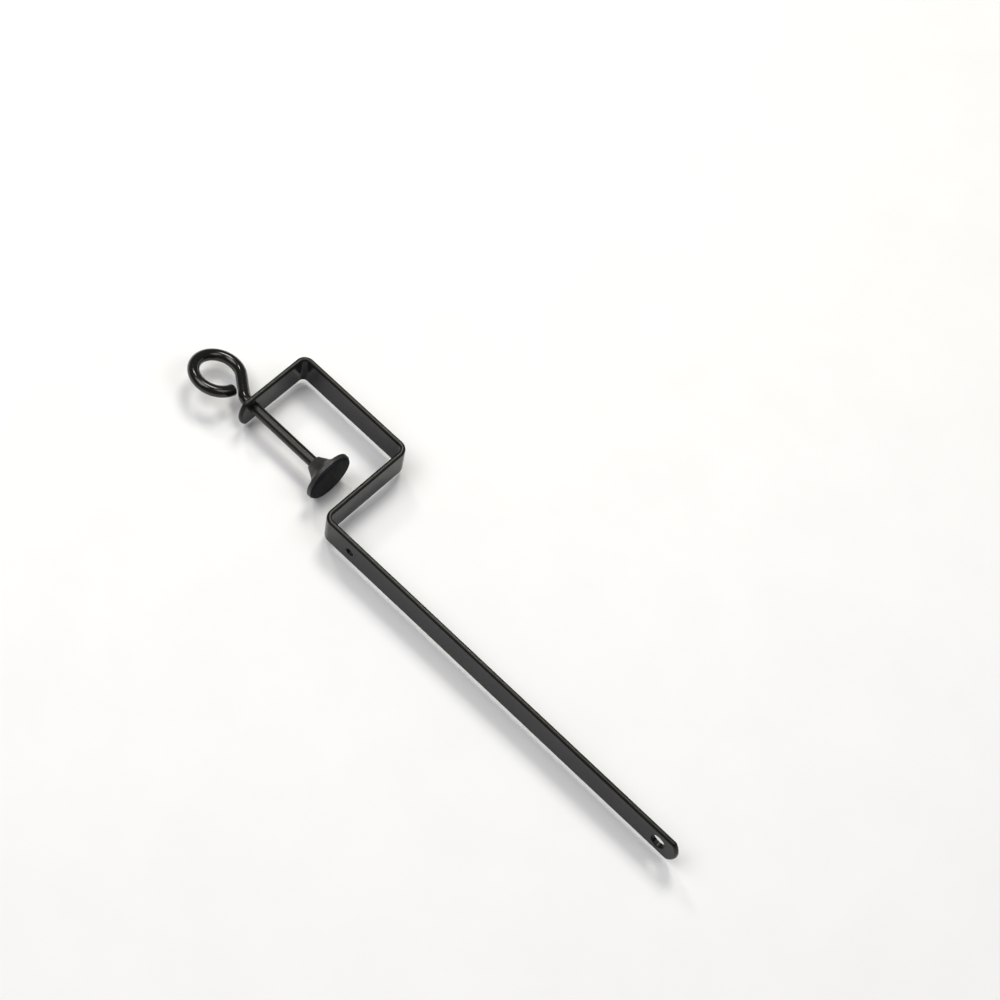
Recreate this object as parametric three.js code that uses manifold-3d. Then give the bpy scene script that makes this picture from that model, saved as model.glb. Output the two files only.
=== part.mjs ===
// Table tennis net clamp: a bent steel strip, an eye screw and a swivel pad.
// Millimetres, +Z up, lying on its side as it does when it is put down.
// The origin is where the screw's axis meets the jaw face that rests on the table top.
// +X runs along the screw's axis from the arm to the jaw and on along the net post,
// +Y from the post to the back.

import * as THREE from 'three';
import { mergeVertices } from 'three/addons/utils/BufferGeometryUtils.js';
import Module from 'manifold-3d';

// Driving dimensions, in millimetres unless a name says otherwise.
const STRIP_WIDTH = 13.5;
const STRIP_THICKNESS = 1.9;
const MOUTH_OPENING = 46.8;
const BACK_INNER_Y = 23.1;
const ARM_END_Y = -6.6;
const POST_OUTER_Y = -14.7;
const NET_HEIGHT = 152.5;
const CORD_SLOT_TO_TIP = 7.7;
const CORD_SLOT_ACROSS = 6.6;
const CORD_SLOT_ALONG = 5.2;
const END_ARC_RADIUS = 11;
const END_CORNER_RADIUS = 1.5;
const HOOK_HOLE_X = 13.6;
const HOOK_HOLE_DIAMETER = 3;
const BEND_RADIUS = 2.8;

const THREAD_DIAMETER = 4;
const THREAD_CLEARANCE = 0.1;
const ROD_DIAMETER = 4.2;
const EYE_RADIUS = 8.4;
const EYE_CENTRE_X = -65.4;
const EYE_END_ANGLE = THREE.MathUtils.degToRad(-4);
const NECK_RADIUS = 5;
const ROD_START_X = -49.8;
const NECK_START_X = -50.2;
const SCREW_ROLL = THREE.MathUtils.degToRad(-18);

const PAD_DIAMETER = 18.6;
const PAD_LENGTH = 8.5;
const PAD_GAP = 10;
const HUB_BACK_DIAMETER = 5.4;
const HUB_FRONT_DIAMETER = 9;
const HUB_LENGTH = 3.4;
const FLARE_BEND_X = 4.6;
const FLARE_BEND_DIAMETER = 10.4;
const RIM_THICKNESS = 1.7;
const FACING_THICKNESS = 1.4;
const FACING_DIAMETER = 17.6;
const FACING_STAND_PROUD = 0.7;
const SOCKET_DEPTH = 1.8;
const SPIGOT_DIAMETER = 2.8;
const WASHER_DIAMETER = 7;
const WASHER_THICKNESS = 0.8;
const SWAGED_HEAD_DIAMETER = 4.4;
const SWAGED_HEAD_HEIGHT = 0.9;
const SWIVEL_GAP = 0.1;

// Worked out from the dimensions above.
const HALF_WIDTH = STRIP_WIDTH / 2;
const HALF_THICKNESS = STRIP_THICKNESS / 2;
const ARM_X = -MOUTH_OPENING - HALF_THICKNESS;
const JAW_X = HALF_THICKNESS;
const BACK_Y = BACK_INNER_Y + HALF_THICKNESS;
const POST_Y = POST_OUTER_Y + HALF_THICKNESS;
const POST_TIP_X = NET_HEIGHT + CORD_SLOT_TO_TIP;
const PAD_BACK_X = -PAD_GAP - PAD_LENGTH;
const FACING_BACK = PAD_LENGTH - FACING_THICKNESS;
const PAD_FRONT = PAD_LENGTH - FACING_STAND_PROUD;
const RIM_BACK = PAD_FRONT - RIM_THICKNESS;
const WASHER_FRONT = FACING_BACK - SWAGED_HEAD_HEIGHT - 3 * SWIVEL_GAP;
const WASHER_BACK = WASHER_FRONT - WASHER_THICKNESS;

const enamel = new THREE.MeshStandardMaterial({ color: 0x0b0b0b, roughness: 0.22, metalness: 0.1 });
const screwEnamel = new THREE.MeshStandardMaterial({ color: 0x0c0c0a, roughness: 0.2, metalness: 0.2 });
const mouldedPlastic = new THREE.MeshStandardMaterial({ color: 0x161616, roughness: 0.55, metalness: 0 });
const rubber = new THREE.MeshStandardMaterial({ color: 0x0d0f12, roughness: 0.8, metalness: 0 });
const zincedSteel = new THREE.MeshStandardMaterial({ color: 0x9a9c9e, roughness: 0.35, metalness: 1 });

const wasm = await Module();
wasm.setup();

// A closed three.js geometry as a manifold solid.
function solidFrom(geometry) {
  const bare = geometry.clone();
  bare.deleteAttribute('normal');
  bare.deleteAttribute('uv');
  const merged = mergeVertices(bare, 1e-5);
  const vertProperties = new Float32Array(merged.attributes.position.array);
  const triVerts = new Uint32Array(merged.index.array);
  return new wasm.Manifold(new wasm.Mesh({ numProp: 3, vertProperties, triVerts }));
}

// A manifold solid back as a three.js geometry.
function geometryFrom(solid) {
  const mesh = solid.getMesh();
  const geometry = new THREE.BufferGeometry();
  geometry.setAttribute('position', new THREE.BufferAttribute(new Float32Array(mesh.vertProperties), 3));
  geometry.setIndex(new THREE.BufferAttribute(new Uint32Array(mesh.triVerts), 1));
  geometry.computeVertexNormals();
  return geometry;
}

// A closed ring or disc about the X axis, from [x, radius] points in order.
function turned(profile, segments) {
  const points = profile.map(([x, radius]) => new THREE.Vector2(radius, x));
  return new THREE.LatheGeometry(points, segments).rotateZ(-Math.PI / 2);
}

// One long edge of a strip that follows square bends, offset to the left of its centre line.
function tracedEdge(corners, offset) {
  const points = [];
  corners.forEach((corner, index) => {
    const before = corners[index - 1];
    const after = corners[index + 1];
    const inward = before ? corner.clone().sub(before).normalize() : after.clone().sub(corner).normalize();
    const outward = after ? after.clone().sub(corner).normalize() : inward;
    if (!before || !after) {
      points.push(new THREE.Vector2(corner.x - inward.y * offset, corner.y + inward.x * offset));
      return;
    }
    const turn = Math.sign(inward.cross(outward));
    const centre = corner.clone().addScaledVector(inward, -BEND_RADIUS).addScaledVector(outward, BEND_RADIUS);
    const radius = BEND_RADIUS - turn * offset;
    const startAngle = Math.atan2(-turn * inward.x, turn * inward.y);
    const arc = new THREE.EllipseCurve(
      centre.x, centre.y, radius, radius, startAngle, startAngle + turn * Math.PI / 2, turn < 0);
    points.push(...arc.getPoints(10));
  });
  return points;
}

// What is left outside a gently arched end with small round corners, pointing along +X.
function archedEndCutter(depth) {
  const cornerZ = HALF_WIDTH - END_CORNER_RADIUS;
  const cornerX = Math.sqrt((END_ARC_RADIUS - END_CORNER_RADIUS) ** 2 - cornerZ ** 2) - END_ARC_RADIUS;
  const cornerAngle = Math.atan2(cornerZ, cornerX + END_ARC_RADIUS);
  const outline = new THREE.Shape();
  outline.moveTo(cornerX, -HALF_WIDTH - 1);
  outline.lineTo(1, -HALF_WIDTH - 1);
  outline.lineTo(1, HALF_WIDTH + 1);
  outline.lineTo(cornerX, HALF_WIDTH + 1);
  outline.lineTo(cornerX, HALF_WIDTH);
  outline.absarc(cornerX, cornerZ, END_CORNER_RADIUS, Math.PI / 2, cornerAngle, true);
  outline.absarc(-END_ARC_RADIUS, 0, END_ARC_RADIUS, cornerAngle, -cornerAngle, true);
  outline.absarc(cornerX, -cornerZ, END_CORNER_RADIUS, -cornerAngle, -Math.PI / 2, true);
  return new THREE.ExtrudeGeometry(outline, { depth, bevelEnabled: false, curveSegments: 12 })
    .translate(0, 0, -depth / 2);
}

// A round-ended slot cutter along X, or a plain round one where its length is its width.
function slotCutter(length, width, depth) {
  const radius = width / 2;
  const reach = length / 2 - radius;
  const outline = new THREE.Shape();
  outline.absarc(reach, 0, radius, -Math.PI / 2, Math.PI / 2, false);
  outline.absarc(-reach, 0, radius, Math.PI / 2, Math.PI * 1.5, false);
  return new THREE.ExtrudeGeometry(outline, { depth, bevelEnabled: false, curveSegments: 14 })
    .translate(0, 0, -depth / 2);
}

// The bent strip: short tapped arm, back, jaw and the long net post.
function bracketGeometry() {
  const corners = [
    new THREE.Vector2(ARM_X, ARM_END_Y),
    new THREE.Vector2(ARM_X, BACK_Y),
    new THREE.Vector2(JAW_X, BACK_Y),
    new THREE.Vector2(JAW_X, POST_Y),
    new THREE.Vector2(POST_TIP_X, POST_Y),
  ];
  const leftEdge = tracedEdge(corners, HALF_THICKNESS);
  const rightEdge = tracedEdge(corners, -HALF_THICKNESS);
  const outline = new THREE.Shape(leftEdge.concat(rightEdge.reverse()));
  const strip = new THREE.ExtrudeGeometry(outline, { depth: STRIP_WIDTH, bevelEnabled: false })
    .translate(0, 0, -HALF_WIDTH);

  const cutDepth = 3 * STRIP_THICKNESS;
  const cutters = [
    archedEndCutter(cutDepth).rotateX(Math.PI / 2).translate(POST_TIP_X, POST_Y, 0),
    archedEndCutter(cutDepth).rotateX(Math.PI / 2).rotateZ(-Math.PI / 2).translate(ARM_X, ARM_END_Y, 0),
    slotCutter(CORD_SLOT_ACROSS, CORD_SLOT_ALONG, cutDepth).rotateZ(Math.PI / 2).rotateX(Math.PI / 2)
      .translate(NET_HEIGHT, POST_Y, 0),
    slotCutter(HOOK_HOLE_DIAMETER, HOOK_HOLE_DIAMETER, cutDepth).rotateX(Math.PI / 2)
      .translate(HOOK_HOLE_X, POST_Y, 0),
    slotCutter(THREAD_DIAMETER + THREAD_CLEARANCE, THREAD_DIAMETER + THREAD_CLEARANCE, cutDepth)
      .rotateY(Math.PI / 2).translate(ARM_X, 0, 0),
  ];
  const solid = cutters.reduce((body, cutter) => body.subtract(solidFrom(cutter)), solidFrom(strip));
  return geometryFrom(solid);
}

// A circular arc in the plane of the eye, from one angle to another about a centre.
class EyeArc extends THREE.Curve {
  constructor(centreX, centreY, radius, startAngle, endAngle) {
    super();
    Object.assign(this, { centreX, centreY, radius, startAngle, endAngle });
  }

  getPoint(t, target = new THREE.Vector3()) {
    const angle = THREE.MathUtils.lerp(this.startAngle, this.endAngle, t);
    const x = this.centreX + this.radius * Math.cos(angle);
    return target.set(x, this.centreY + this.radius * Math.sin(angle), 0);
  }
}

// The rod's centre line outside the arm: a straight stub, a neck that leans away, and the eye.
function eyePath() {
  const reach = NECK_START_X - EYE_CENTRE_X;
  const span = Math.hypot(reach, NECK_RADIUS);
  const lean = Math.asin((NECK_RADIUS + EYE_RADIUS) / span) - Math.atan2(NECK_RADIUS, reach);
  const neckEnd = new THREE.Vector3(
    NECK_START_X - NECK_RADIUS * Math.sin(lean), NECK_RADIUS * (1 - Math.cos(lean)), 0);
  const eyeStartAngle = Math.PI / 2 - lean;
  const eyeStart = new THREE.Vector3(
    EYE_CENTRE_X + EYE_RADIUS * Math.cos(eyeStartAngle), EYE_RADIUS * Math.sin(eyeStartAngle), 0);
  const path = new THREE.CurvePath();
  path.add(new THREE.LineCurve3(
    new THREE.Vector3(ROD_START_X, 0, 0), new THREE.Vector3(NECK_START_X, 0, 0)));
  path.add(new EyeArc(NECK_START_X, NECK_RADIUS, NECK_RADIUS, -Math.PI / 2, -Math.PI / 2 - lean));
  path.add(new THREE.LineCurve3(neckEnd, eyeStart));
  path.add(new EyeArc(EYE_CENTRE_X, 0, EYE_RADIUS, eyeStartAngle, 2 * Math.PI + EYE_END_ANGLE));
  return path;
}

// The eye screw: bent rod, threaded shank, and a spigot swaged over inside the pad.
function eyeScrewGeometry() {
  const section = new THREE.Shape();
  section.absarc(0, 0, ROD_DIAMETER / 2, 0, 2 * Math.PI, false);
  const rod = new THREE.ExtrudeGeometry(section, { steps: 110, extrudePath: eyePath(), curveSegments: 10 });
  const shoulderX = PAD_BACK_X + SOCKET_DEPTH - SWIVEL_GAP;
  const headX = PAD_BACK_X + WASHER_FRONT + SWIVEL_GAP;
  const headEndX = headX + SWAGED_HEAD_HEIGHT;
  const shank = turned([
    [NECK_START_X, 0],
    [NECK_START_X, THREAD_DIAMETER / 2],
    [shoulderX, THREAD_DIAMETER / 2],
    [shoulderX, SPIGOT_DIAMETER / 2],
    [headX, SPIGOT_DIAMETER / 2],
    [headX, SWAGED_HEAD_DIAMETER / 2],
    [headEndX - 0.4, SWAGED_HEAD_DIAMETER / 2],
    [headEndX, SWAGED_HEAD_DIAMETER / 2 - 0.7],
    [headEndX, 0],
  ], 48);
  return geometryFrom(solidFrom(rod).add(solidFrom(shank)));
}

// The pad's moulding: a conical hub that flares out to a thin rim, hollow for the washer and the facing.
function padBodyGeometry() {
  const flare = new THREE.QuadraticBezierCurve(
    new THREE.Vector2(HUB_LENGTH, HUB_FRONT_DIAMETER / 2),
    new THREE.Vector2(FLARE_BEND_X, FLARE_BEND_DIAMETER / 2),
    new THREE.Vector2(RIM_BACK, PAD_DIAMETER / 2 - 0.5),
  ).getPoints(8).map((point) => [point.x, point.y]);
  const profile = [
    [SOCKET_DEPTH, SPIGOT_DIAMETER / 2 + SWIVEL_GAP],
    [SOCKET_DEPTH, THREAD_DIAMETER / 2 + 2 * SWIVEL_GAP],
    [0, THREAD_DIAMETER / 2 + 2 * SWIVEL_GAP],
    [0, HUB_BACK_DIAMETER / 2 - 0.25],
    [0.25, HUB_BACK_DIAMETER / 2],
    ...flare,
    [RIM_BACK + 0.2, PAD_DIAMETER / 2],
    [PAD_FRONT - 0.2, PAD_DIAMETER / 2],
    [PAD_FRONT, PAD_DIAMETER / 2 - 0.2],
    [PAD_FRONT, FACING_DIAMETER / 2 + 0.05],
    [FACING_BACK - 0.02, FACING_DIAMETER / 2 + 0.05],
    [FACING_BACK - 0.02, WASHER_DIAMETER / 2 + 2 * SWIVEL_GAP],
    [WASHER_BACK - SWIVEL_GAP, WASHER_DIAMETER / 2 + 2 * SWIVEL_GAP],
    [WASHER_BACK - SWIVEL_GAP, SPIGOT_DIAMETER / 2 + SWIVEL_GAP],
  ];
  return turned([...profile, profile[0]], 64);
}

// The soft disc that bears on the underside of the table.
function padFacingGeometry() {
  return turned([
    [FACING_BACK, 0],
    [FACING_BACK, FACING_DIAMETER / 2],
    [PAD_LENGTH - 0.25, FACING_DIAMETER / 2],
    [PAD_LENGTH, FACING_DIAMETER / 2 - 0.25],
    [PAD_LENGTH, 0],
  ], 64);
}

// The steel washer behind the swaged head, which keeps the pad on the screw.
function washerGeometry() {
  const bore = SPIGOT_DIAMETER / 2 + SWIVEL_GAP;
  const profile = [
    [WASHER_BACK, bore],
    [WASHER_BACK, WASHER_DIAMETER / 2],
    [WASHER_FRONT, WASHER_DIAMETER / 2],
    [WASHER_FRONT, bore],
  ];
  return turned([...profile, profile[0]], 48);
}

function namedMesh(name, geometry, material) {
  const mesh = new THREE.Mesh(geometry, material);
  mesh.name = name;
  return mesh;
}

const bracket = namedMesh('bracket', bracketGeometry(), enamel);

const eyeScrew = namedMesh('eye_screw', eyeScrewGeometry(), screwEnamel);
eyeScrew.rotation.x = SCREW_ROLL;

const pad = new THREE.Group();
pad.position.x = PAD_BACK_X;
pad.add(namedMesh('pad_body', padBodyGeometry(), mouldedPlastic));
pad.add(namedMesh('pad_facing', padFacingGeometry(), rubber));
pad.add(namedMesh('retaining_washer', washerGeometry(), zincedSteel));

const netClamp = new THREE.Group();
netClamp.name = 'net_clamp';
netClamp.add(bracket, eyeScrew, pad);

export default netClamp;
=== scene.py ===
"""Table tennis net clamp: the fine visual pieces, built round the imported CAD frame."""

import math
from collections import namedtuple

import bmesh
import bpy
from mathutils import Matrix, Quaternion, Vector


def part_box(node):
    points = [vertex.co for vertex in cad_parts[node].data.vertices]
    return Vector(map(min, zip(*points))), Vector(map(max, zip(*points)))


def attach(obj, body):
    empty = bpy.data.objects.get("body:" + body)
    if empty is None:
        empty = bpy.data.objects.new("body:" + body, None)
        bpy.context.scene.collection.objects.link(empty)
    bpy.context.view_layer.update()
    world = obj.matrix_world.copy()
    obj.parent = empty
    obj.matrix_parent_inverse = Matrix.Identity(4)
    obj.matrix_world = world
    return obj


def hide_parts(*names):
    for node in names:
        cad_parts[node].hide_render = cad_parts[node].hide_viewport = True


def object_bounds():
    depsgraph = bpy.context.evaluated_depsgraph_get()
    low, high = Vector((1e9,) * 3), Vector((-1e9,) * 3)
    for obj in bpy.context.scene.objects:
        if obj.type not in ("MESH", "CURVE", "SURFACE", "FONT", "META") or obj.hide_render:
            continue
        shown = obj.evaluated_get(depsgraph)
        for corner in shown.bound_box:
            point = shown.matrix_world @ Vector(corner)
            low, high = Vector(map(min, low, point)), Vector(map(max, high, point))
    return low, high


MM = 0.001
MICRON = 0.000001

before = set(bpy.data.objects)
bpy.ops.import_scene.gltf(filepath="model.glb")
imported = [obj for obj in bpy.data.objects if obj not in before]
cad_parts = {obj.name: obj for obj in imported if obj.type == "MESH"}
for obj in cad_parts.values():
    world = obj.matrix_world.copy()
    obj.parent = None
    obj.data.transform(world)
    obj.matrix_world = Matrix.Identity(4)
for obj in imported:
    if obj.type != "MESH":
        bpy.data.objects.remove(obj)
cad_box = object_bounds()

# ------------------------------------------------------------------ sizes, in metres
strip_low, strip_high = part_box("bracket")
pad_low, pad_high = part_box("pad_body")
facing_low, facing_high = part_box("pad_facing")
screw_low, screw_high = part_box("eye_screw")
washer_low, washer_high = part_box("retaining_washer")

THICKNESS = 1.9 * MM
HALF_THICKNESS = THICKNESS / 2
HALF_WIDTH = strip_high.z
ARM_END_Y = -6.6 * MM
ARM_X = strip_low.x + HALF_THICKNESS
JAW_X = HALF_THICKNESS
BACK_Y = strip_high.y - HALF_THICKNESS
POST_Y = strip_low.y + HALF_THICKNESS
POST_TIP_X = strip_high.x
BEND_RADIUS = 2.8 * MM
BEND_SWELL = 0.12 * MM
SWELL_SHARPNESS = 4
BEND_CUTS = 14
STRAIGHT_CUT_SPACING = 6 * MM
CUT_TOLERANCE = 1e-7
EDGE_RADIUS = HALF_THICKNESS
HOLE_EDGE_RADIUS = 0.3 * MM
EDGE_STEPS = 8

END_ARC_RADIUS = 11.0 * MM
END_CORNER_RADIUS = 1.5 * MM
CORD_SLOT_TO_TIP = 7.7 * MM
CORD_SLOT_ACROSS = 6.6 * MM
CORD_SLOT_ALONG = 5.2 * MM
HOOK_HOLE_X = 13.6 * MM
HOOK_HOLE_RADIUS = 1.5 * MM
TAPPED_HOLE_RADIUS = 2.08 * MM
ROUND_HOLE_STRAIGHT = 0.02 * MM

PAD_BACK_X = pad_low.x
PAD_RADIUS = pad_high.z
PAD_FRONT = pad_high.x - pad_low.x
HUB_BACK_RADIUS = 2.7 * MM
HUB_FRONT_RADIUS = 4.5 * MM
HUB_LENGTH = 3.4 * MM
FLARE_BEND_X = 4.6 * MM
FLARE_BEND_RADIUS = 5.2 * MM
FLARE_STEPS = 20
RIM_THICKNESS = 1.7 * MM
RIM_SLOPE = 0.5 * MM
RIM_EDGE_RADIUS = 0.35 * MM
SOCKET_DEPTH = 1.8 * MM
SOCKET_GAP = 0.2 * MM
SOCKET_CHAMFER = 0.15 * MM
HUB_EDGE_RADIUS = 0.25 * MM
SWIVEL_GAP = 0.1 * MM
FACING_RADIUS = facing_high.z
FACING_EDGE_RADIUS = 0.3 * MM
FACING_SIDE_GAP = 0.05 * MM
FACING_BACK_GAP = 0.02 * MM
FACING_DISH = 0.08 * MM

ROD_RADIUS = 2.1 * MM
ROD_START_X = -49.8 * MM
THREAD_RADIUS = 2.0 * MM
THREAD_PITCH = 0.7 * MM
THREAD_DEPTH = 0.16 * MM
GROOVE_SHARPNESS = 6
THREAD_STEPS = 14
THREAD_CHAMFER = 0.35 * MM
THREAD_CHAMFER_LENGTH = 0.3 * MM
SPIGOT_RADIUS = 1.4 * MM
SWAGED_HEAD_RADIUS = 2.15 * MM
HEAD_BACK_X = washer_high.x + SWIVEL_GAP
SHOULDER_X = PAD_BACK_X + SOCKET_DEPTH - SWIVEL_GAP
NECK_START_X = -50.2 * MM
NECK_RADIUS = 5.0 * MM
NECK_STEPS = 12
EYE_RADIUS = 8.4 * MM
EYE_CENTRE_X = screw_low.x + EYE_RADIUS + ROD_RADIUS
EYE_END_ANGLE = math.radians(-4)
EYE_STEPS = 120
SCREW_ROLL = math.radians(-18)
SCREW_SEGMENTS = 40


# ------------------------------------------------------------------ mesh helpers
def new_piece(name, mesh_builder, body, replaced, material):
    """A smooth object that mesh_builder makes, which rides on a body in place of a CAD node."""
    mesh = bpy.data.meshes.new(name)
    builder = bmesh.new()
    mesh_builder(builder)
    bmesh.ops.recalc_face_normals(builder, faces=builder.faces)
    for face in builder.faces:
        face.smooth = True
    builder.to_mesh(mesh)
    builder.free()
    piece = bpy.data.objects.new(name, mesh)
    bpy.context.scene.collection.objects.link(piece)
    piece.data.materials.append(material)
    weighted = piece.modifiers.new("weighted_normals", "WEIGHTED_NORMAL")
    weighted.keep_sharp = True
    weighted.weight = 90
    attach(piece, body)
    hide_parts(replaced)
    return piece


def mark_sharp(builder, degrees):
    """Keeps creases steeper than an angle crisp."""
    builder.normal_update()
    for edge in builder.edges:
        if len(edge.link_faces) == 2 and edge.calc_face_angle(0.0) > math.radians(degrees):
            edge.smooth = False


def join_rings(builder, rings, closed=False):
    """Quads between rings that hold the same number of vertices."""
    pairs = list(zip(rings, rings[1:]))
    if closed:
        pairs.append((rings[-1], rings[0]))
    for first, second in pairs:
        count = len(first)
        for index in range(count):
            after = (index + 1) % count
            builder.faces.new((first[index], first[after], second[after], second[index]))


def loop_edges(ring):
    """The edges that run round one ring of vertices."""
    edges = []
    for index, vertex in enumerate(ring):
        other = ring[(index + 1) % len(ring)]
        edges.append(next(edge for edge in vertex.link_edges if edge.other_vert(vertex) is other))
    return edges


# ------------------------------------------------------------------ the bent strip
CORNERS = [
    Vector((ARM_X, ARM_END_Y)),
    Vector((ARM_X, BACK_Y)),
    Vector((JAW_X, BACK_Y)),
    Vector((JAW_X, POST_Y)),
    Vector((POST_TIP_X, POST_Y)),
]


Stretch = namedtuple("Stretch", "length start heading turn")


def centre_line():
    """The strip's centre line, stretch by stretch. turn is 0 if straight, 1 to the left, -1 right."""
    stretches = []
    start = CORNERS[0]
    for before, corner, after in zip(CORNERS, CORNERS[1:], CORNERS[2:]):
        inward = (corner - before).normalized()
        outward = (after - corner).normalized()
        bend_start = corner - inward * BEND_RADIUS
        stretches.append(Stretch((bend_start - start).length, start, inward, 0))
        turn = 1 if inward.cross(outward) > 0 else -1
        stretches.append(Stretch(BEND_RADIUS * math.pi / 2, bend_start, inward, turn))
        start = corner + outward * BEND_RADIUS
    heading = (CORNERS[-1] - CORNERS[-2]).normalized()
    stretches.append(Stretch((CORNERS[-1] - start).length, start, heading, 0))
    return stretches


STRETCHES = centre_line()
STRIP_LENGTH = sum(stretch.length for stretch in STRETCHES)


def stretch_at(along):
    """The stretch that a place along the flat blank lies on, and how far into it the place is."""
    reached = 0.0
    for stretch in STRETCHES[:-1]:
        if along <= reached + stretch.length:
            return stretch, along - reached
        reached += stretch.length
    return STRETCHES[-1], along - reached


def fold(along, across, outward):
    """Where a point of the flat blank goes when the strip is bent: length, width, thickness."""
    (length, start, heading, turn), travelled = stretch_at(along)
    left = Vector((-heading.y, heading.x))
    if turn == 0:
        spot = start + heading * travelled + left * outward
        return Vector((spot.x, spot.y, across))
    angle = turn * travelled / BEND_RADIUS
    centre = start + left * turn * BEND_RADIUS
    spoke = (-left * turn) * (BEND_RADIUS - turn * outward)
    spot = centre + Vector((
        spoke.x * math.cos(angle) - spoke.y * math.sin(angle),
        spoke.x * math.sin(angle) + spoke.y * math.cos(angle),
    ))
    fullness = math.sin(math.pi * travelled / length) * (abs(across) / HALF_WIDTH) ** SWELL_SHARPNESS
    swell = BEND_SWELL * fullness * turn * outward / HALF_THICKNESS
    return Vector((spot.x, spot.y, across + swell * math.copysign(1, across)))


def slot_outline(centre, half_straight, radius, steps=14):
    """The points round a slot that lies across the flat blank, or a round hole."""
    points = []
    for side, begin in ((1, 0), (-1, math.pi)):
        for step in range(steps + 1):
            angle = begin + math.pi * step / steps
            across = side * half_straight + radius * math.sin(angle)
            points.append((centre + radius * math.cos(angle), across))
    return points


def strip_outline(inset, steps=10):
    """The blank's outline: two long edges, gently arched ends and small round corners."""
    corner = END_CORNER_RADIUS - inset
    arc = END_ARC_RADIUS - inset
    corner_across = HALF_WIDTH - END_CORNER_RADIUS
    corner_reach = math.sqrt((END_ARC_RADIUS - END_CORNER_RADIUS) ** 2 - corner_across ** 2)
    corner_along = STRIP_LENGTH - END_ARC_RADIUS + corner_reach
    corner_angle = math.atan2(corner_across, corner_reach)
    end = []
    for step in range(steps + 1):
        angle = math.pi / 2 + (corner_angle - math.pi / 2) * step / steps
        end.append((
            corner_along + corner * math.cos(angle), corner_across + corner * math.sin(angle)))
    for step in range(1, 2 * steps):
        angle = corner_angle * (1 - step / steps)
        end.append((STRIP_LENGTH - END_ARC_RADIUS + arc * math.cos(angle), arc * math.sin(angle)))
    end += [(along, -across) for along, across in reversed(end[:steps + 1])]
    return end + [(STRIP_LENGTH - along, -across) for along, across in end]


def rounded_rings(builder, outline, edge_radius, grow):
    """Rings over a rounded edge. outline gives its points at an inset; grow is -1 for a hole."""
    profile = []
    for step in range(EDGE_STEPS + 1):
        angle = math.pi / 2 * step / EDGE_STEPS
        inset = edge_radius * (1 - math.sin(angle))
        profile.append((inset, HALF_THICKNESS - edge_radius + edge_radius * math.cos(angle)))
    underside = [(inset, -height) for inset, height in reversed(profile)]
    fully_round = edge_radius == HALF_THICKNESS
    profile += underside[1:] if fully_round else underside
    rings = []
    for inset, height in profile:
        points = outline(inset * grow)
        rings.append([builder.verts.new((along, across, height)) for along, across in points])
    return rings


def hole_outlines():
    """An outline for each hole in the flat blank, as a function of its inset."""
    def hole_outline(centre, half_straight, radius):
        return lambda inset: slot_outline(centre, half_straight, radius - inset)

    slot_reach = (CORD_SLOT_ACROSS - CORD_SLOT_ALONG) / 2
    hook_hole = STRIP_LENGTH - (POST_TIP_X - HOOK_HOLE_X)
    return [
        hole_outline(-ARM_END_Y, ROUND_HOLE_STRAIGHT, TAPPED_HOLE_RADIUS),
        hole_outline(hook_hole, ROUND_HOLE_STRAIGHT, HOOK_HOLE_RADIUS),
        hole_outline(STRIP_LENGTH - CORD_SLOT_TO_TIP, slot_reach, CORD_SLOT_ALONG / 2),
    ]


def cut_across(builder):
    """Cuts the flat blank across, closely in the bends, so that it can fold."""
    stations = []
    reached = 0.0
    for stretch in STRETCHES:
        count = BEND_CUTS if stretch.turn else max(2, round(stretch.length / STRAIGHT_CUT_SPACING))
        stations += [reached + stretch.length * step / count for step in range(count)]
        reached += stretch.length
    for station in stations[1:]:
        everything = builder.verts[:] + builder.edges[:] + builder.faces[:]
        bmesh.ops.bisect_plane(
            builder, geom=everything, dist=CUT_TOLERANCE, plane_co=(station, 0, 0), plane_no=(1, 0, 0))


def build_bracket(builder):
    """The flat blank with rounded edges and punched holes, cut across and folded."""
    loops = [rounded_rings(builder, strip_outline, EDGE_RADIUS, 1)]
    loops += [rounded_rings(builder, hole, HOLE_EDGE_RADIUS, -1) for hole in hole_outlines()]
    for rings in loops:
        join_rings(builder, rings)
    for end in (0, -1):
        rim = [edge for rings in loops for edge in loop_edges(rings[end])]
        bmesh.ops.triangle_fill(builder, use_beauty=True, edges=rim)
    cut_across(builder)
    for vertex in builder.verts:
        vertex.co = fold(*vertex.co)


# ------------------------------------------------------------------ the eye screw
# The rod's cut end: millimetres back from the cut, and the share of the rod's radius there.
CUT_END_SHAPE = ((0.45, 1.0), (0.2, 0.96), (0.06, 0.87), (0.0, 0.76), (0.03, 0.4))


def thread_radius(x, angle):
    """The thread's radius at a place along it and an angle about it; it fades out at both ends."""
    turns = (x - ROD_START_X) / THREAD_PITCH - angle / (2 * math.pi)
    fade_out = min(1.0, max(0.0, (x - ROD_START_X) / (2 * THREAD_PITCH)))
    fade_in = min(1.0, max(0.0, (SHOULDER_X - x) / THREAD_PITCH))
    groove = (0.5 - 0.5 * math.cos(2 * math.pi * turns)) ** GROOVE_SHARPNESS
    return THREAD_RADIUS - THREAD_DEPTH * groove * fade_out * fade_in


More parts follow.
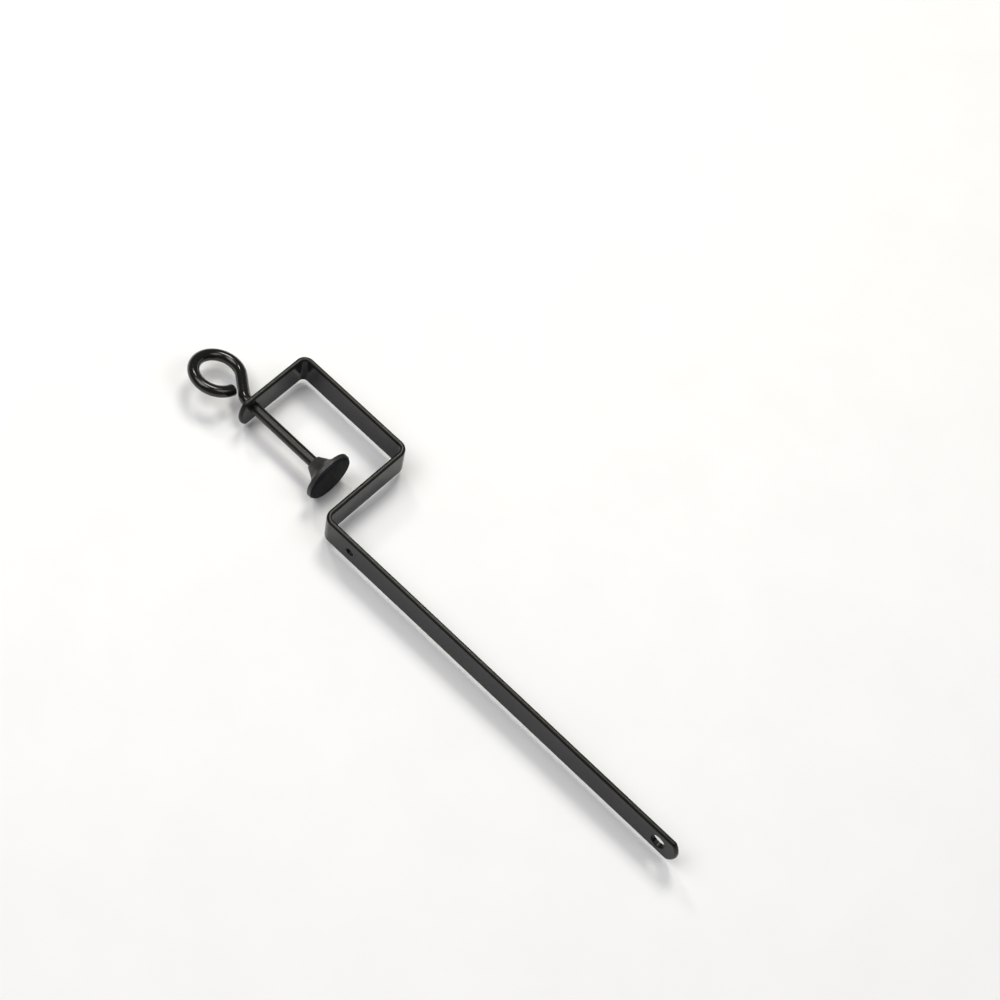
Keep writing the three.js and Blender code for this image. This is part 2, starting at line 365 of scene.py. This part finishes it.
def shank_sections():
    """The swaged head, the spigot, the thread and the step up to the plain rod."""
    head_end = screw_high.x
    profile = [
        (head_end, 0.9 * MM), (head_end - 0.12 * MM, 1.45 * MM), (head_end - 0.35 * MM, 1.95 * MM),
        (head_end - 0.6 * MM, SWAGED_HEAD_RADIUS),
        (HEAD_BACK_X, SWAGED_HEAD_RADIUS), (HEAD_BACK_X, SPIGOT_RADIUS),
        (SHOULDER_X, SPIGOT_RADIUS), (SHOULDER_X, THREAD_RADIUS - THREAD_CHAMFER),
    ]
    thread_end = SHOULDER_X - THREAD_CHAMFER_LENGTH
    step = THREAD_PITCH / THREAD_STEPS
    count = int((thread_end - ROD_START_X) / step)
    profile += [(thread_end - index * step, thread_radius) for index in range(count + 1)]
    profile += [
        (ROD_START_X - 0.02 * MM, THREAD_RADIUS + 0.02 * MM),
        (ROD_START_X - 0.14 * MM, ROD_RADIUS - 0.02 * MM),
        (ROD_START_X - 0.28 * MM, ROD_RADIUS),
    ]
    return [(Vector((x, 0, 0)), Vector((-1, 0, 0)), radius) for x, radius in profile]


def neck_and_eye_sections():
    """The neck, which leans out until it meets the eye's circle, the eye, and its cut end."""
    reach = NECK_START_X - EYE_CENTRE_X
    span = math.hypot(reach, NECK_RADIUS)
    lean = math.asin((NECK_RADIUS + EYE_RADIUS) / span) - math.atan2(NECK_RADIUS, reach)
    sections = []
    for index in range(NECK_STEPS + 1):
        angle = lean * index / NECK_STEPS
        spot = Vector((
            NECK_START_X - NECK_RADIUS * math.sin(angle), NECK_RADIUS * (1 - math.cos(angle)), 0))
        sections.append((spot, Vector((-math.cos(angle), math.sin(angle), 0)), ROD_RADIUS))
    eye_start = math.pi / 2 - lean
    sweep = 2 * math.pi + EYE_END_ANGLE - eye_start
    for index in range(EYE_STEPS + 1):
        angle = eye_start + sweep * index / EYE_STEPS
        outward = Vector((math.cos(angle), math.sin(angle), 0))
        spot = Vector((EYE_CENTRE_X, 0, 0)) + outward * EYE_RADIUS
        heading = Vector((-math.sin(angle), math.cos(angle), 0))
        sections.append((spot, heading, ROD_RADIUS))
    end_spot, end_heading, _radius = sections.pop()
    for back, share in CUT_END_SHAPE:
        sections.append((end_spot - end_heading * back * MM, end_heading, ROD_RADIUS * share))
    return sections


def build_screw(builder):
    """One continuous skin from the swaged tip along the thread and the neck round the eye."""
    roll_cos, roll_sin = math.cos(SCREW_ROLL), math.sin(SCREW_ROLL)
    rings = []
    for spot, heading, radius in shank_sections() + neck_and_eye_sections():
        side = Vector((heading.y, -heading.x, 0))
        ring = []
        for index in range(SCREW_SEGMENTS):
            angle = 2 * math.pi * index / SCREW_SEGMENTS
            size = radius(spot.x, angle) if callable(radius) else radius
            point = spot + side * (size * math.cos(angle)) + Vector((0, 0, size * math.sin(angle)))
            rolled = (
                point.x,
                point.y * roll_cos - point.z * roll_sin,
                point.y * roll_sin + point.z * roll_cos,
            )
            ring.append(builder.verts.new(rolled))
        rings.append(ring)
    join_rings(builder, rings)
    builder.faces.new(rings[0])
    builder.faces.new(rings[-1])
    mark_sharp(builder, 50)


# ------------------------------------------------------------------ the pad
def turned_builder(profile, closed, segments=96):
    """A builder that turns [x, radius] points about the screw's axis."""
    def build(builder):
        rings = []
        for x, radius in profile:
            ring = []
            for index in range(segments):
                angle = 2 * math.pi * index / segments
                spot = (x, radius * math.cos(angle), radius * math.sin(angle))
                ring.append(builder.verts.new(spot))
            rings.append(ring)
        join_rings(builder, rings, closed)
        if not closed:
            builder.faces.new(rings[0])
            builder.faces.new(rings[-1])
        mark_sharp(builder, 40)
    return build


def fillet(x, radius, size, start, end, steps=5):
    """Points of a rounded corner about a centre, from one angle to another, in degrees."""
    points = []
    for step in range(steps + 1):
        angle = math.radians(start + (end - start) * step / steps)
        points.append((x + size * math.cos(angle), radius + size * math.sin(angle)))
    return points


def flare_curve():
    """The curve from the hub's front out to the rim's back."""
    start = Vector((PAD_BACK_X + HUB_LENGTH, HUB_FRONT_RADIUS))
    bend = Vector((PAD_BACK_X + FLARE_BEND_X, FLARE_BEND_RADIUS))
    end = Vector((PAD_BACK_X + (PAD_FRONT - RIM_THICKNESS), PAD_RADIUS - RIM_SLOPE))
    points = []
    for step in range(FLARE_STEPS + 1):
        part = step / FLARE_STEPS
        spot = start * (1 - part) ** 2 + bend * (2 * part * (1 - part)) + end * part ** 2
        points.append(tuple(spot))
    return points


def pad_body_profile():
    """Hub, flare, rim and the hollow for the screw, the washer and the facing."""
    base = PAD_BACK_X
    rim_back = PAD_FRONT - RIM_THICKNESS
    soft = RIM_EDGE_RADIUS
    bore = SPIGOT_RADIUS + SWIVEL_GAP
    mouth = THREAD_RADIUS + SOCKET_GAP
    hub_edge = HUB_BACK_RADIUS - 0.2 * MM
    hollow_back = washer_low.x - SWIVEL_GAP
    hollow_radius = washer_high.z + SOCKET_GAP
    seat = facing_low.x - FACING_BACK_GAP
    seat_radius = FACING_RADIUS + FACING_SIDE_GAP
    profile = [(base + SOCKET_DEPTH, bore), (base + SOCKET_DEPTH, mouth)]
    profile += [(base + SOCKET_CHAMFER, mouth), (base, mouth + SOCKET_CHAMFER)]
    profile += fillet(base + HUB_EDGE_RADIUS, hub_edge, HUB_EDGE_RADIUS, 180, 110)
    profile += flare_curve()
    profile += fillet(base + rim_back + soft, PAD_RADIUS - soft, soft, 150, 90)
    profile += fillet(base + PAD_FRONT - soft, PAD_RADIUS - soft, soft, 90, 0)
    profile += [(base + PAD_FRONT, seat_radius), (seat, seat_radius), (seat, hollow_radius)]
    profile += [(hollow_back, hollow_radius), (hollow_back, bore)]
    return profile


def pad_facing_profile():
    """A flat disc with a rounded front edge and a very slight dish."""
    soft = FACING_EDGE_RADIUS
    front = facing_high.x
    profile = [(facing_low.x, 0.3 * MM), (facing_low.x, FACING_RADIUS - 0.1 * MM)]
    profile += [(facing_low.x + 0.1 * MM, FACING_RADIUS)]
    profile += fillet(front - soft, FACING_RADIUS - soft, soft, 90, 0)
    for part in (0.9, 0.75, 0.5, 0.25, 0.05):
        dish = FACING_DISH * (1 - part ** 2)
        profile.append((front - dish, (FACING_RADIUS - soft) * part))
    return profile


# ------------------------------------------------------------------ materials
ENAMEL_BLACK = (0.009, 0.009, 0.008)
# Lighter olive grey for the crowns of the strip's edges: partly thin enamel, partly a painted
# highlight line.
THIN_ENAMEL_AND_HIGHLIGHT = (0.06, 0.06, 0.046)
HIGHLIGHT_CROWN_DEPTH = 0.08 * MM
THREAD_FADE = 0.6 * MM
THREAD_DULLNESS = 0.06


class Surface:
    """A Principled material with small helpers for procedural detail."""

    def __init__(self, name, color, roughness, metallic=0.0, specular=0.5):
        self.material = bpy.data.materials.new(name)
        self.material.use_nodes = True
        self.nodes = self.material.node_tree.nodes
        self.links = self.material.node_tree.links
        self.shader = self.nodes["Principled BSDF"]
        self.shader.inputs["Base Color"].default_value = (*color, 1)
        self.shader.inputs["Roughness"].default_value = roughness
        self.shader.inputs["Metallic"].default_value = metallic
        self.shader.inputs["Specular IOR Level"].default_value = specular
        self.place = self.nodes.new("ShaderNodeTexCoord")
        self.bump_out = None

    def put(self, value, socket):
        """Sets a socket to a number or a colour, or links another node's output to it."""
        if isinstance(value, bpy.types.NodeSocket):
            self.links.new(value, socket)
        elif isinstance(value, tuple):
            socket.default_value = (*value, 1)
        else:
            socket.default_value = value

    def coordinate(self, axis):
        """One of the piece's own coordinates, in metres."""
        node = self.nodes.new("ShaderNodeSeparateXYZ")
        self.links.new(self.place.outputs["Object"], node.inputs["Vector"])
        return node.outputs[axis]

    def calculate(self, operation, *values):
        """The result of a math node."""
        node = self.nodes.new("ShaderNodeMath")
        node.operation = operation
        for value, socket in zip(values, node.inputs):
            self.put(value, socket)
        return node.outputs["Value"]

    def noise(self, scale, detail=3.0, roughness=0.5):
        """Noise over the piece's own coordinates; scale is in cells per metre."""
        node = self.nodes.new("ShaderNodeTexNoise")
        node.inputs["Scale"].default_value = scale
        node.inputs["Detail"].default_value = detail
        node.inputs["Roughness"].default_value = roughness
        self.links.new(self.place.outputs["Object"], node.inputs["Vector"])
        return node.outputs["Fac"]

    def spread(self, value, low, high, from_low=0.3, from_high=0.7):
        """A value taken from one range to another, clamped."""
        node = self.nodes.new("ShaderNodeMapRange")
        node.inputs["From Min"].default_value = from_low
        node.inputs["From Max"].default_value = from_high
        node.inputs["To Min"].default_value = low
        node.inputs["To Max"].default_value = high
        self.links.new(value, node.inputs["Value"])
        return node.outputs["Result"]

    def mix(self, amount, first, second):
        """A colour between two, each a colour or another node's output, by an amount."""
        node = self.nodes.new("ShaderNodeMix")
        node.data_type = "RGBA"
        self.links.new(amount, node.inputs["Factor"])
        self.put(first, node.inputs["A"])
        self.put(second, node.inputs["B"])
        return node.outputs["Result"]

    def bump(self, height, strength, distance):
        """Adds a layer of bump on top of those already there; distance in metres."""
        node = self.nodes.new("ShaderNodeBump")
        node.inputs["Strength"].default_value = strength
        node.inputs["Distance"].default_value = distance
        self.links.new(height, node.inputs["Height"])
        if self.bump_out is not None:
            self.links.new(self.bump_out, node.inputs["Normal"])
        self.bump_out = node.outputs["Normal"]
        self.links.new(self.bump_out, self.shader.inputs["Normal"])

    def feed(self, socket, output):
        """Links an output to one of the shader's sockets."""
        self.links.new(output, self.shader.inputs[socket])


def strip_enamel():
    """Glossy black stoving enamel with orange peel and dust nibs; the crowns of the edges are
    lightened, partly thin enamel and partly a painted highlight line.
    """
    surface = Surface("strip_enamel", ENAMEL_BLACK, 0.2, specular=0.14)
    across = surface.calculate("ABSOLUTE", surface.coordinate("Z"))
    # Painted highlight: the crowns of the edges are mixed towards a lighter olive grey, partly as thin
    # enamel wear and partly as a highlight line.
    crown_wear_and_highlight = surface.spread(across, 0, 1, HALF_WIDTH - HIGHLIGHT_CROWN_DEPTH, HALF_WIDTH)
    patchy = surface.spread(surface.noise(700, 4), 0.35, 1.0)
    wear_and_highlight_amount = surface.calculate("MULTIPLY", crown_wear_and_highlight, patchy)
    cloudy = surface.mix(
        surface.spread(surface.noise(60, 4), 0, 1), (0.007, 0.007, 0.006), (0.011, 0.011, 0.010))
    surface.feed("Base Color", surface.mix(wear_and_highlight_amount, cloudy, THIN_ENAMEL_AND_HIGHLIGHT))
    surface.feed("Roughness", surface.spread(surface.noise(900, 5), 0.14, 0.27))
    surface.bump(surface.noise(650, 2), 0.25, 40 * MICRON)
    surface.bump(surface.noise(3200, 3, 0.6), 0.12, 10 * MICRON)
    return surface.material


def screw_enamel():
    """The same enamel, pooled smooth on the eye and thinner and duller along the thread."""
    surface = Surface("screw_enamel", ENAMEL_BLACK, 0.16, specular=0.5)
    on_thread = surface.spread(
        surface.coordinate("X"), 0.0, 1.0, ROD_START_X - THREAD_FADE, ROD_START_X + THREAD_FADE)
    pooled = surface.spread(surface.noise(1100, 4), 0.10, 0.2)
    surface.feed("Roughness", surface.calculate("MULTIPLY_ADD", on_thread, THREAD_DULLNESS, pooled))
    surface.feed("Base Color", surface.mix(on_thread, (0.007, 0.007, 0.006), (0.013, 0.013, 0.009)))
    surface.bump(surface.noise(520, 2), 0.2, 40 * MICRON)
    surface.bump(surface.noise(2600, 3, 0.6), 0.12, 10 * MICRON)
    return surface.material


def pad_plastic():
    """Black moulded plastic with a fine spark-eroded grain."""
    surface = Surface("pad_plastic", (0.018, 0.018, 0.015), 0.45, specular=0.5)
    surface.feed("Roughness", surface.spread(surface.noise(1500, 4), 0.40, 0.58))
    surface.feed("Base Color", surface.mix(
        surface.spread(surface.noise(220, 4), 0, 1), (0.014, 0.014, 0.012), (0.023, 0.022, 0.019)))
    surface.bump(surface.noise(4200, 4, 0.65), 0.35, 30 * MICRON)
    surface.bump(surface.noise(300, 2), 0.2, 50 * MICRON)
    return surface.material


def pad_rubber():
    """Dull black rubber with a bluish cast and a fine tooth."""
    surface = Surface("pad_rubber", (0.007, 0.008, 0.010), 0.7, specular=0.15)
    surface.feed("Roughness", surface.spread(surface.noise(900, 4), 0.62, 0.8))
    surface.feed("Base Color", surface.mix(
        surface.spread(surface.noise(150, 5), 0, 1), (0.005, 0.006, 0.008), (0.009, 0.010, 0.013)))
    surface.bump(surface.noise(2800, 4, 0.7), 0.4, 40 * MICRON)
    return surface.material


def washer_steel():
    """Plain zinced steel with a faint blotch."""
    surface = Surface("washer_steel", (0.6, 0.6, 0.62), 0.35, metallic=1.0)
    surface.feed("Roughness", surface.spread(surface.noise(800, 4), 0.28, 0.45))
    surface.feed("Base Color", surface.mix(
        surface.spread(surface.noise(400, 3), 0, 1), (0.55, 0.56, 0.58), (0.66, 0.66, 0.66)))
    surface.bump(surface.noise(3000, 3), 0.2, 20 * MICRON)
    return surface.material


def floor_paper():
    """A seamless pale paper floor."""
    surface = Surface("floor_paper", (0.9, 0.9, 0.9), 0.7, specular=0.2)
    surface.feed("Base Color", surface.mix(
        surface.spread(surface.noise(40, 3), 0, 1), (0.89, 0.89, 0.89), (0.91, 0.91, 0.91)))
    surface.bump(surface.noise(1500, 3), 0.05, 30 * MICRON)
    return surface.material


# ------------------------------------------------------------------ the pieces
new_piece("net_clamp_strip", build_bracket, "bracket", "bracket", strip_enamel())
new_piece("threaded_eye_screw", build_screw, "screw", "eye_screw", screw_enamel())
new_piece("pad_moulding", turned_builder(pad_body_profile(), True), "pad", "pad_body",
          pad_plastic())
new_piece("pad_rubber_disc", turned_builder(pad_facing_profile(), False), "pad", "pad_facing",
          pad_rubber())
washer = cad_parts["retaining_washer"]
washer.material_slots[0].material = washer_steel()


# ------------------------------------------------------------------ floor, lights and camera
FLOOR_HALF_SIDE = 6.0
FLOOR_CELLS = 4
VIEW_AZIMUTH = math.radians(30.1)
VIEW_ELEVATION = math.radians(62.0)
VIEW_ROLL = math.radians(15.3)
VIEW_DISTANCE = 0.8
AIM = Vector((34.24 * MM, 36.33 * MM, 0))
LENS = 85.32
SENSOR_WIDTH = 36.0
NEAR_CLIP = 0.05
WORLD_STRENGTH = 0.12
WHITE = (1.0, 1.0, 1.0)
WARM_WHITE = (1.0, 0.98, 0.92)
# name; azimuth from the camera's and elevation, in degrees; distance and side, in metres; watts
SOFTBOXES = (
    ("top_softbox", -75, 66, 1.3, 0.8, 8.5, WHITE),
    ("fill_softbox", 80, 60, 1.5, 0.8, 5, WHITE),
    ("key_softbox", 180, 62, 1.1, 0.3, 4.5, WARM_WHITE),
    ("streak_softbox", -140, 45, 1.0, 0.12, 1.2, WARM_WHITE),
)


def make_floor():
    """A wide flat floor at the object's lowest point."""
    mesh = bpy.data.meshes.new("studio_floor")
    builder = bmesh.new()
    bmesh.ops.create_grid(
        builder, x_segments=FLOOR_CELLS, y_segments=FLOOR_CELLS, size=FLOOR_HALF_SIDE)
    for vertex in builder.verts:
        vertex.co.z = cad_box[0].z
    builder.to_mesh(mesh)
    builder.free()
    floor = bpy.data.objects.new("studio_floor", mesh)
    bpy.context.scene.collection.objects.link(floor)
    mesh.materials.append(floor_paper())


def around_aim(azimuth, elevation, distance):
    """A place seen from the aim point, with azimuth and elevation as the camera has them."""
    return AIM + distance * Vector((
        math.sin(azimuth) * math.cos(elevation),
        -math.cos(azimuth) * math.cos(elevation),
        math.sin(elevation),
    ))


def face_aim(thing):
    """Turns a camera or a light to the aim point."""
    thing.rotation_mode = "QUATERNION"
    thing.rotation_quaternion = (AIM - thing.location).to_track_quat("-Z", "Y")


def make_camera():
    """The camera, at the viewing angle and rolled about its own axis."""
    data = bpy.data.cameras.new("camera")
    data.lens = LENS
    data.sensor_width = SENSOR_WIDTH
    data.clip_start = NEAR_CLIP
    camera = bpy.data.objects.new("camera", data)
    bpy.context.scene.collection.objects.link(camera)
    camera.location = around_aim(VIEW_AZIMUTH, VIEW_ELEVATION, VIEW_DISTANCE)
    face_aim(camera)
    camera.rotation_quaternion = camera.rotation_quaternion @ Quaternion((0, 0, 1), VIEW_ROLL)
    bpy.context.scene.camera = camera


def softbox(name, azimuth, elevation, distance, size, watts, color):
    """A square area light that faces the aim point; its azimuth is positive to the right."""
    data = bpy.data.lights.new(name, "AREA")
    data.size = size
    data.energy = watts
    data.color = color
    light = bpy.data.objects.new(name, data)
    bpy.context.scene.collection.objects.link(light)
    light.location = around_aim(
        VIEW_AZIMUTH + math.radians(azimuth), math.radians(elevation), distance)
    face_aim(light)


def make_world():
    """Weak white light from all sides."""
    world = bpy.data.worlds.new("studio")
    world.use_nodes = True
    background = world.node_tree.nodes["Background"]
    background.inputs["Color"].default_value = (*WHITE, 1)
    background.inputs["Strength"].default_value = WORLD_STRENGTH
    bpy.context.scene.world = world


make_floor()
make_camera()
make_world()
for row in SOFTBOXES:
    softbox(*row)
bpy.context.scene.view_settings.view_transform = "Standard"
